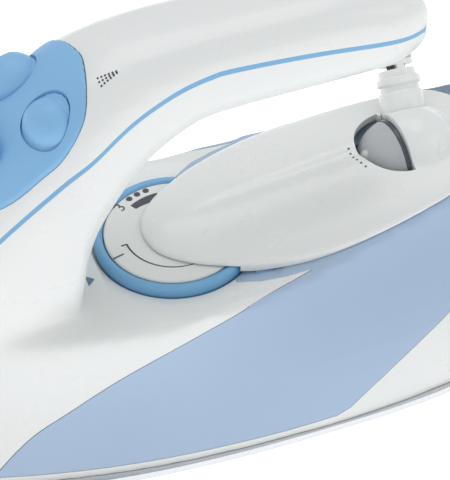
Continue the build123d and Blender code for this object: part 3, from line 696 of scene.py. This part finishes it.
def arc_band(start, stop, inner, outer, steps=40):
    """A printed band round the dial whose width may change from start to stop."""
    edge, back = [], []
    for step in range(steps + 1):
        share = step / steps
        turn = math.radians(start + (stop - start) * share)
        for places, radii in ((edge, outer), (back, inner)):
            radius = radii[0] + (radii[1] - radii[0]) * share
            places.append(Vector((radius * math.cos(turn), radius * math.sin(turn),
                                  dial_top_z - 0.02)))
    return prism(edge + back[::-1], (0, 0, ink))


def numeral(text, place, height, turn, z):
    letters = bpy.data.curves.new("numeral", "FONT")
    letters.body = text
    letters.size = height
    letters.extrude = ink / 2
    letters.align_x = letters.align_y = "CENTER"
    stamp = bpy.data.objects.new("numeral", letters)
    scene.collection.objects.link(stamp)
    bpy.context.view_layer.update()
    depsgraph = bpy.context.evaluated_depsgraph_get()
    mesh = bpy.data.meshes.new_from_object(stamp.evaluated_get(depsgraph))
    bpy.data.objects.remove(stamp)
    mesh.transform(Matrix.Translation((place[0], place[1], z)) @ Matrix.Rotation(turn, 4, "Z"))
    bm = bmesh.new()
    bm.from_mesh(mesh)
    return bm


def gathered(forms):
    """Several separate forms as one part."""
    whole = bmesh.new()
    for form in forms:
        mesh = bpy.data.meshes.new("form")
        form.to_mesh(mesh)
        form.free()
        whole.from_mesh(mesh)
        bpy.data.meshes.remove(mesh)
    return whole


def around_dial(radius, degrees):
    return (radius * math.cos(math.radians(degrees)), radius * math.sin(math.radians(degrees)))


scale_print = [arc_band(119, 86, (17.0, 15.6), (19.6, 19.8)),
               arc_band(181, 297, (16.9, 17.3), (17.6, 17.6)),
               arc_band(179.5, 181.5, (16.9, 16.9), (19.2, 19.2), 4)]
for degrees in (113, 104, 95):
    x, y = around_dial(22.3, degrees)
    dot = bmesh.new()
    bmesh.ops.create_cone(dot, cap_ends=True, segments=28, radius1=1.15, radius2=1.15, depth=ink,
                          matrix=Matrix.Translation((x, y, dial_top_z + 0.02)))
    scale_print.append(dot)
for text, degrees in (("3", 126.5), ("1", 191.5)):
    spot = around_dial(22.0, degrees)
    scale_print.append(numeral(text, spot, 6.0, math.radians(degrees - 90), dial_top_z + 0.01))
place_piece(solid(gathered(scale_print)), "dial_scale_print", print_slate, "dial")

# The pointer moulded in the housing beside the dial.
pointer_blue = moulded("pointer_blue", (98, 132, 164), 0.4, (92, 126, 158))
pointer_corners = [(-36.0, -6.4, 58.6), (-35.8, -12.9, 58.6), (-32.5, -9.8, 58.6)]
pointer = solid(prism(pointer_corners, (0, 0, 1.95)))
place_piece(pointer, "setting_pointer", pointer_blue)

# ---------------------------------------------------------------- platform cover and swivel dome
# Glossy white cover over the electronics: a crowned teardrop that overhangs the dial and
# swells at its heel into the round housing of the cord swivel. Clipped down on a seal.
cover_points = [(-11, 0), (-9.5, 7.5), (-4.5, 14), (4, 20), (18, 26.5), (36, 31), (54, 32), (74, 30.5),
                (94, 27), (112, 20), (118, 0)]
cover_crest = [Vector((-14, 65.2, 0)), Vector((0, 67.2, 0)), Vector((20, 69.8, 0)), Vector((45, 72.4, 0)),
               Vector((70, 74.8, 0)), Vector((100, 76.5, 0)), Vector((122, 75.5, 0))]
cover_rim = [(-14, 63.6), (20, 64.2), (36, 64.6), (60, 66.6), (92, 71.0), (122, 74.5)]
crest_line = [(p.x, p.y) for p in curve_through(cover_crest, 60)]


def height_on(line, x):
    for (x0, z0), (x1, z1) in zip(line, line[1:]):
        if x <= x1 or (x1, z1) == line[-1]:
            return z0 + (z1 - z0) * (x - x0) / (x1 - x0)


cover_half = [Vector((x, -y, 0)) for x, y in cover_points]
cover_outline = curve_through(cover_half + [Vector((p.x, -p.y, 0)) for p in reversed(cover_half[1:-1])],
                              160, closed=True)


def cover_ring(share, sink, inset=0.0):
    """One ring of the crowned top; share is 1 at the rim and 0 on the ridge."""
    places = []
    for p in cover_outline:
        pull = Vector((40 - p.x, -p.y, 0))
        ends = inset if p.x < 0 else -inset if p.x > 110 else 0
        x = p.x + (pull.x / 54.0) * (1 - share) * 10 + ends
        y = (p.y - math.copysign(min(inset, abs(p.y)), p.y)) * share
        rim, crest = height_on(cover_rim, x), height_on(crest_line, x)
        z = rim + (crest - rim) * (1 - share ** 2.2) - sink
        places.append(Vector((x, y, z)))
    return places


def cover_blank(inset, sink, low_z):
    shares = (1.0, 0.985, 0.95, 0.88, 0.78, 0.64, 0.48, 0.3, 0.12)
    base = [Vector((p.x, p.y, low_z)) for p in cover_ring(1.0, 0, inset)]
    rings = [base] + [cover_ring(share, sink, inset) for share in shares]
    return solid(loft(rings))


swivel_centre = Vector((91, 0, 67))
swivel_radius = 17.0
cord_axis = Vector((0.094, 0.717, 0.691)).normalized()
cord_turned = cord_axis.to_track_quat("Z", "Y").to_matrix().to_4x4()
cord_frame = Matrix.Translation(swivel_centre) @ cord_turned


def on_cord(bm):
    bmesh.ops.transform(bm, matrix=cord_frame, verts=bm.verts)
    return bm


cover = carve(cover_blank(0.0, 0.0, 52.0), ball(swivel_centre, (swivel_radius,) * 3), how="UNION")
skin_over(cover, 1.1, 5, divide=1)
cover_skin = twin(cover)
cover_void = carve(cover_blank(2.6, 2.4, 40.0), ball(swivel_centre, (swivel_radius - 2.2,) * 3),
                   how="UNION")
carve(cover, cover_void)
deck_top = [(x, z + part_gap) for x, z in deck_line]
carve(cover, under_line(deck_top))
dial_room = turned([(ring_radius + 0.9, 40), (ring_radius + 0.9, dial_top_z + 0.55)], 96)
carve(cover, dial_room)
lens_x = 84.0
lens_room = solid(well(15.75, (lens_x + 1.2, 0), 50, 100))
carve(lens_room, box_form(0, lens_x + 0.1, -40, 40, 40, 110), how="INTERSECT")
carve(cover, lens_room)
carve(cover, on_cord(turned([(8.5, 0), (8.5, 60)], 64)))
place_piece(cover, "platform_cover_shell", white_gloss,
            stands_for=["platform_cover", "swivel_housing"])

# ---------------------------------------------------------------- indicator lens
# Smoked clear lens over the auto-off lamp, snapped in before the dome, with a grey reflector under it.
# The dark slate band along its straight edge is painted shade where the dome overhangs the lens.
smoke = Finish("smoked_clear_plastic", Base_Color=srgb(92, 97, 103), Roughness=0.06)
smoke.set("Alpha", smoke.noise(40.0) * 0.04 + 0.06)
smoke.set("Coat Weight", 0.6)
smoke.bump(smoke.noise(900.0, 1.0), 0.00002, 0.1)
lens_middle = (88.5, 0, 66)
lens_radii = Vector((19.6, 17.0, 15.8))


def lens_part(shrink, inner, x0, x1, low_z=66.5):
    """A slice of the lens's oval skin between two places along the iron."""
    part = solid(ball(lens_middle, lens_radii - Vector((shrink,) * 3)))
    carve(part, ball(lens_middle, lens_radii - Vector((inner,) * 3)))
    carve(part, box_form(x0, x1, -20, 20, low_z, 100), how="INTERSECT")
    carve(part, well(15.5 - shrink * 0.5, (lens_x + 1.2, 0), 50, 100), how="INTERSECT")
    return part


place_piece(lens_part(0.0, 1.2, 60, lens_x - 0.15), "indicator_lens_cap", smoke,
            stands_for=["indicator_lens"])
reflector_grey = moulded("speckled_reflector", (214, 216, 218), 0.6, (190, 194, 198), grain=2000.0,
                         depth=0.0001)
place_piece(lens_part(1.5, 2.5, 60, lens_x - 1.6, 62.0), "lens_reflector", reflector_grey)
# Painted shade: a dark slate strip along the lens's straight edge stands for the dome's shadow.
painted_overhang_shade = moulded("painted_shade_band", (70, 78, 90), 0.35, (62, 70, 82), coat=0.4)
place_piece(lens_part(1.25, 3.0, lens_x - 1.5, lens_x - 0.15, 67.0), "lens_painted_shade_band", painted_overhang_shade)

# Six printed dots lead up to the lens.
dots = []
for x, y in ((67.2, 3.0), (67.0, 0.9), (67.1, -1.2), (67.4, -3.4), (67.9, -5.6), (68.6, -7.8)):
    dot = bmesh.new()
    bmesh.ops.create_cone(dot, cap_ends=True, segments=20, radius1=0.42, radius2=0.42, depth=9.0,
                          matrix=Matrix.Translation((x, y, 76.0)))
    dots.append(dot)
dot_part = carve(solid(gathered(dots)), grown(cover_skin, 0.05), how="INTERSECT")
carve(dot_part, grown(cover_skin, -0.3))
place_piece(dot_part, "lamp_dots_print", print_slate)

# Rows of printed dots on the handle top fan out from the spray button's mark.
fan_dots = []
for degrees in (174.0, 184.5, 195.0):
    for step in range(6):
        reach = 1.6 + 1.15 * step
        dot = bmesh.new()
        bmesh.ops.create_cone(
            dot, cap_ends=True, segments=20, radius1=0.34, radius2=0.34, depth=24.0,
            matrix=Matrix.Translation((-19.5 + reach * math.cos(math.radians(degrees)),
                                       -11.9 + reach * math.sin(math.radians(degrees)), 146.0)))
        fan_dots.append(dot)
fan_part = carve(solid(gathered(fan_dots)), grown(body_blank, 0.05), how="INTERSECT")
carve(fan_part, grown(body_blank, -0.3))
bpy.data.objects.remove(body_blank)
place_piece(fan_part, "spray_dots_print", print_slate)

# ---------------------------------------------------------------- grip pads
# Oval ribbed pads on both sides of the dome, moulded with it.
def grip_pad(side):
    across = Vector((0, 0, 1))
    out = Vector((0.46, 0.80 * side, 0.38)).normalized()
    right = across.cross(out).normalized()
    up = out.cross(right).normalized()
    rings = []
    for low in (True, False):
        shares = [k / 12 for k in range(1, 13)]
        for share in (shares if low else reversed(shares)):
            places = []
            for k in range(72):
                turn = 2 * math.pi * k / 72
                u, v = 5.8 * share * math.cos(turn), 8.2 * share * math.sin(turn)
                rib = 0.16 * math.cos(2 * math.pi * v / 2.05) * min(1.0, (1 - share) * 7)
                edge = min(1.0, (1 - share) * 14) * 0.32
                reach = swivel_radius - 1.2 if low else swivel_radius + 0.02 + edge + rib
                places.append(swivel_centre + (out * 17 + right * u + up * v).normalized() * reach)
            rings.append(places)
    return loft(rings)


place_piece(solid(gathered([grip_pad(-1), grip_pad(1)])), "dome_grip_pads", white_gloss,
            crease=1.1)
bpy.data.objects.remove(cover_skin)

# ---------------------------------------------------------------- swivel and strain relief
# The cord turns in the dome on a ball with a collar; over it sits a soft tapered sleeve
# with staggered slots that lets the cord bend gently.
ball_shift = 4.1
collar_low = ball_shift + 10.4 - 1.5
ball_profile = [(10.4 * math.sin(math.radians(a)), ball_shift - 10.4 * math.cos(math.radians(a)))
                for a in range(62, 120, 6)]
collar = [(8.0, 12.0), (8.15, 13.4), (8.2, 14.2), (7.95, collar_low + 8.0), (7.6, collar_low + 8.6),
          (7.0, collar_low + 8.9), (6.9, collar_low + 10.8), (7.4, collar_low + 11.0),
          (7.9, collar_low + 11.4), (7.85, collar_low + 13.2), (7.6, collar_low + 13.8),
          (6.6, collar_low + 14.1)]
place_piece(solid(on_cord(turned(ball_profile + [(8.0, 9.0)] + collar, 72))), "swivel_ball_and_collar",
            white_gloss, "cord_swivel", ["swivel_ball"], crease=0.7)
relief_length = 56.0
sleeve_low = collar_low + 13.5


def sleeve_radius(z):
    return 6.8 - 2.4 * (z - sleeve_low) / (relief_length - sleeve_low)


sleeve = solid(on_cord(turned([(sleeve_radius(sleeve_low), sleeve_low), (sleeve_radius(30), 30),
                               (sleeve_radius(40), 40), (sleeve_radius(50), 50),
                               (4.5, relief_length - 0.5), (4.1, relief_length)], 64)))
carve(sleeve, on_cord(turned([(3.5, sleeve_low - 1), (3.5, relief_length + 1)], 48)))
for step in range(7):
    z = sleeve_low + 3.0 + step * 3.3
    for side in (-1, 1):
        near, far = sorted((side * 1.3, side * 12))
        sides = (-9, 9, near, far) if step % 2 else (near, far, -9, 9)
        carve(sleeve, on_cord(box_form(*sides, z, z + 1.5)))
place_piece(sleeve, "strain_relief_sleeve", white_gloss, "cord_swivel",
            ["strain_relief"], crease=0.6)


# Textile braid of navy and beige threads, read from the cord's own length and turn.
cord_braid = Finish("textile_braid", Roughness=0.85)
braid_place = cord_braid.node("ShaderNodeTexCoord", output="UV")
along_cord = cord_braid.node("ShaderNodeSeparateXYZ", None, {0: braid_place}, 0) * 420.0
round_cord = cord_braid.node("ShaderNodeSeparateXYZ", None, {0: braid_place}, 1) * 6.0
left_hand = along_cord + round_cord
right_hand = along_cord - round_cord
left = left_hand.maths("FRACT", left_hand)
right = right_hand.maths("FRACT", right_hand)
weave = left.maths("COMPARE", left, right, 0.25)
cord_braid.set("Base Color", cord_braid.mix(weave, srgb(58, 62, 78), srgb(188, 178, 160)))
cord_braid.bump(left.maths("PINGPONG", left, 0.5) + right.maths("PINGPONG", right, 0.5),
                0.0004, 0.6)
inner_cord_finish = moulded("braid_in_sleeve", (120, 114, 108), 0.85, (60, 64, 80),
                            grain=900.0, depth=0.0003)
place_piece(solid(on_cord(turned([(3.3, 20), (3.3, relief_length - 1)], 32))), "cord_in_sleeve",
            inner_cord_finish, "cord_swivel")

# ---------------------------------------------------------------- cord, coil and plug
# 1.84 m of braided three-core cord. From the sleeve it falls behind the iron and is wound
# into a tied coil of six turns beside the heel, with its plug lying against the coil.
cord_diameter = 6.8
cord_tip = swivel_centre + cord_axis * relief_length
coil_centre = Vector((205, 34, 0))
route = [cord_tip, cord_tip + cord_axis * 17, (103, 80, 133), (118, 101, 136), (139, 117, 122),
         (158, 127, 97), (174, 130, 68), (188, 126, 40), (200, 114, 19), (209, 97, 8), (216, 80, 6.5)]
turns_in_layer = 3
steps_in_turn = 14
outer_turn = 45.8
start_turn = math.radians(66)
low_layer, high_layer = 3.6, 10.5
steps_in_layer = turns_in_layer * steps_in_turn
for step in range(2 * steps_in_layer):
    layer = step // steps_in_layer
    share = (step % steps_in_layer) / steps_in_layer
    radius = outer_turn - cord_diameter * 2.05 * (share if layer == 0 else 1 - share)
    turn = start_turn - 2 * math.pi * step / steps_in_turn
    route.append((coil_centre.x + radius * math.cos(turn), coil_centre.y + radius * math.sin(turn),
                  high_layer if layer else low_layer))
plug_y, plug_z = -37.2, 18.5
route += [(248, 42, 9.8), (250.5, 26, 9.2), (256, 3, 9.5), (256, -14, 12.5), (247.5, -28.9, 16),
          (232.5, plug_y, plug_z), (216, plug_y, plug_z)]
cord_curve = bpy.data.curves.new("power_cord", "CURVE")
cord_curve.dimensions = "3D"
run = cord_curve.splines.new("NURBS")
run.points.add(len(route) - 1)
for point, place in zip(run.points, route):
    point.co = (*(Vector(place) * MM), 1.0)
run.order_u = 3
run.use_endpoint_u = True
run.resolution_u = 6
cord_curve.bevel_depth = cord_diameter * MM / 2
cord_curve.bevel_resolution = 5
cord_curve.use_fill_caps = True
power_cord = bpy.data.objects.new("power_cord", cord_curve)
scene.collection.objects.link(power_cord)
cord_curve.materials.append(cord_braid.material)
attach(power_cord, "root")
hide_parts("cord_lead", "cord_coil", "cord_tail")

# ---------------------------------------------------------------- pieces that keep their moulded form
# Inner parts, soleplate, heel parts, plug and tie: cast, turned or moulded pieces that only
# need their own finish.
def metal(name, colour, roughness, brushed=0.0):
    finish = Finish(name, Metallic=1.0)
    streaks = finish.node("ShaderNodeMapping", None,
                          {"Vector": finish.place, "Scale": (40, 900, 900)})
    grain = finish.node("ShaderNodeTexNoise", None,
                        {"Vector": streaks, "Scale": 1.0, "Detail": 4.0})
    finish.set("Base Color", finish.mix(finish.noise(30.0), srgb(*colour),
                                        srgb(*[level * 0.93 for level in colour])))
    finish.set("Roughness", grain * brushed + roughness)
    finish.bump(grain, 0.00003, 0.2)
    return finish


finish_of_slot = {
    "cast_aluminium": metal("polished_sole_aluminium", (222, 224, 227), 0.2, 0.15),
    "steel": metal("bright_steel", (200, 202, 205), 0.18, 0.12),
    "brass": metal("brass", (214, 184, 118), 0.22, 0.1),
    "seal_grey": moulded("blue_grey_silicone", (140, 166, 202), 0.5, (132, 159, 196)),
    "inner_grey": moulded("grey_inner_moulding", (150, 154, 160), 0.5, (142, 147, 153)),
    "clear_hose": moulded("milky_silicone_hose", (222, 226, 224), 0.3, (214, 219, 217)),
    "feet_grey": moulded("grey_rubber", (112, 120, 130), 0.7, (104, 112, 122)),
    "lamp": moulded("milky_lamp_body", (226, 226, 224), 0.15, (216, 216, 216)),
    "board_green": moulded("board_lacquer", (40, 104, 66), 0.35, (34, 94, 58)),
    "plug_grey": moulded("pale_plug_moulding", (222, 225, 227), 0.38, (214, 218, 221)),
    "white_plastic": white_gloss,
    "sky_blue": sky_satin,
    "tank_blue": tank_frosted,
    "keypad_blue": elastomer,
    "smoked_lens": smoke,
    "cord_braid": cord_braid}
# Plate in the leg that holds both pumps; the valve rod and the pump hoses pass through it.
carve(bracket_blank, well(1.86, (-58, 0), 70, 95), well(2.05, spray_centre, 70, 95),
      well(2.05, shot_centre, 70, 95), box_form(-90, -64, -13.5, 10, 70, 95))
place_piece(bracket_blank, "pump_bracket_plate", finish_of_slot["inner_grey"],
            stands_for=["pump_bracket"])
for subpart in frame["record"]["subparts"]:
    node = nodes[subpart["node"]]
    node.data.materials.clear()
    node.data.materials.append(finish_of_slot[subpart["material_slot"]].material)
